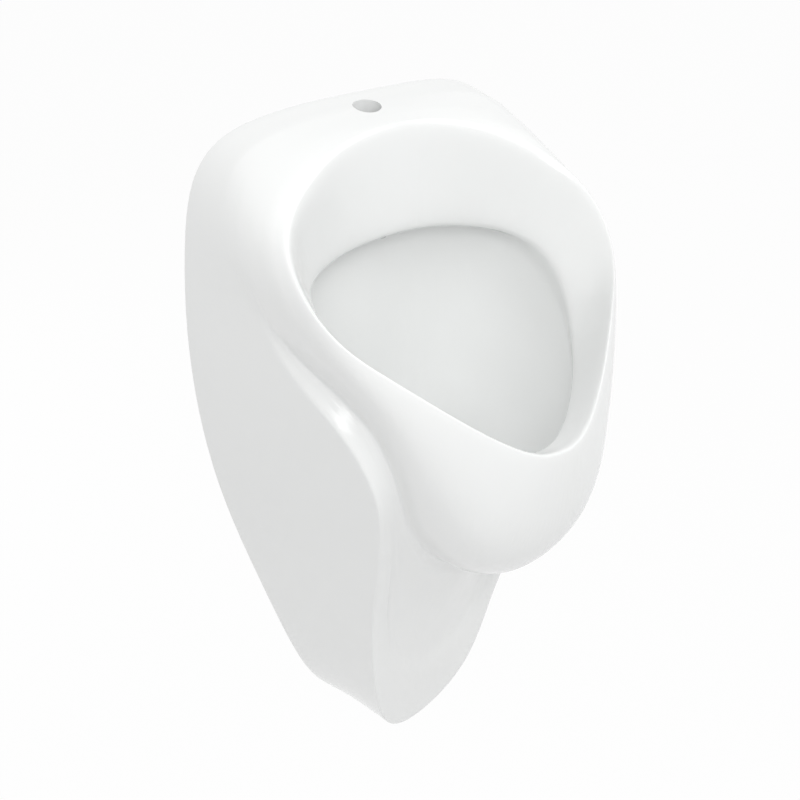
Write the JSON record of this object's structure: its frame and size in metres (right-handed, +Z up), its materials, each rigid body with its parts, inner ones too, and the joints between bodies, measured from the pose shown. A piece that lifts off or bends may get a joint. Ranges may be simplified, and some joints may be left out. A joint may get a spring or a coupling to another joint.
{
  "type": "wall hung urinal",
  "caption": "Wall hung urinal: glazed china bowl with hood and tapering shroud, rear wall hooks, flush spreader, lift-out strainer and bottle trap.",
  "frame": {"origin": "top of the china's back outline, on the wall plane and on the centre line", "axes": "+Z up, +Y into the wall, +X to the right as seen from the front; the user stands on the -Y side"},
  "size_m": [0.356, 0.3497, 0.6857],
  "materials": {
    "glazed_china": "smooth white glaze",
    "black_rubber": "matt",
    "white_plastic": "smooth moulded polypropylene",
    "grey_plastic": "smooth moulded plastic",
    "chromed_metal": "polished",
    "cast_brass": "turned",
    "zinc_steel": "zinc plated"
  },
  "bodies": {
    "fixed": {"ceramic_body": "glazed_china", "inlet_seal": "black_rubber", "spreader_tube": "grey_plastic", "nozzle_washer": "black_rubber", "nozzle_nut": "cast_brass", "spray_nozzle": "chromed_metal", "waste_gasket": "black_rubber", "waste_flange": "chromed_metal", "waste_washer": "black_rubber", "waste_nut": "cast_brass", "joint_seal": "black_rubber", "dip_tube": "white_plastic", "union_nut": "white_plastic", "trap_body": "white_plastic", "outlet_seal": "black_rubber", "outlet_nut": "white_plastic", "outlet_pipe": "white_plastic", "hook_left": "zinc_steel", "hook_right": "zinc_steel", "hook_pads": "black_rubber"},
    "strainer": {"strainer": "chromed_metal"},
    "cup": {"trap_cup": "white_plastic", "cup_seal": "black_rubber"},
    "cup_nut": {"cup_nut": "white_plastic"}
  },
  "joints": [
    {"name": "strainer_lift", "type": "slide", "parent": "fixed", "child": "strainer", "axis": [0, 0, 1], "range_m": [0, 0.4]},
    {"name": "cup_nut_turn", "type": "hinge", "parent": "cup", "child": "cup_nut", "pos_m": [0, -0.09738, -0.49533], "axis": [0, 0, 1], "range_deg": [0, 1560]},
    {"name": "cup_drop", "type": "slide", "parent": "fixed", "child": "cup", "axis": [0, 0, -1], "range_m": [0, 0.013]}
  ],
  "couplings": [
    {"joint": "cup_nut_turn", "follows": "cup_drop", "rad_per_m": 2094.4}
  ]
}
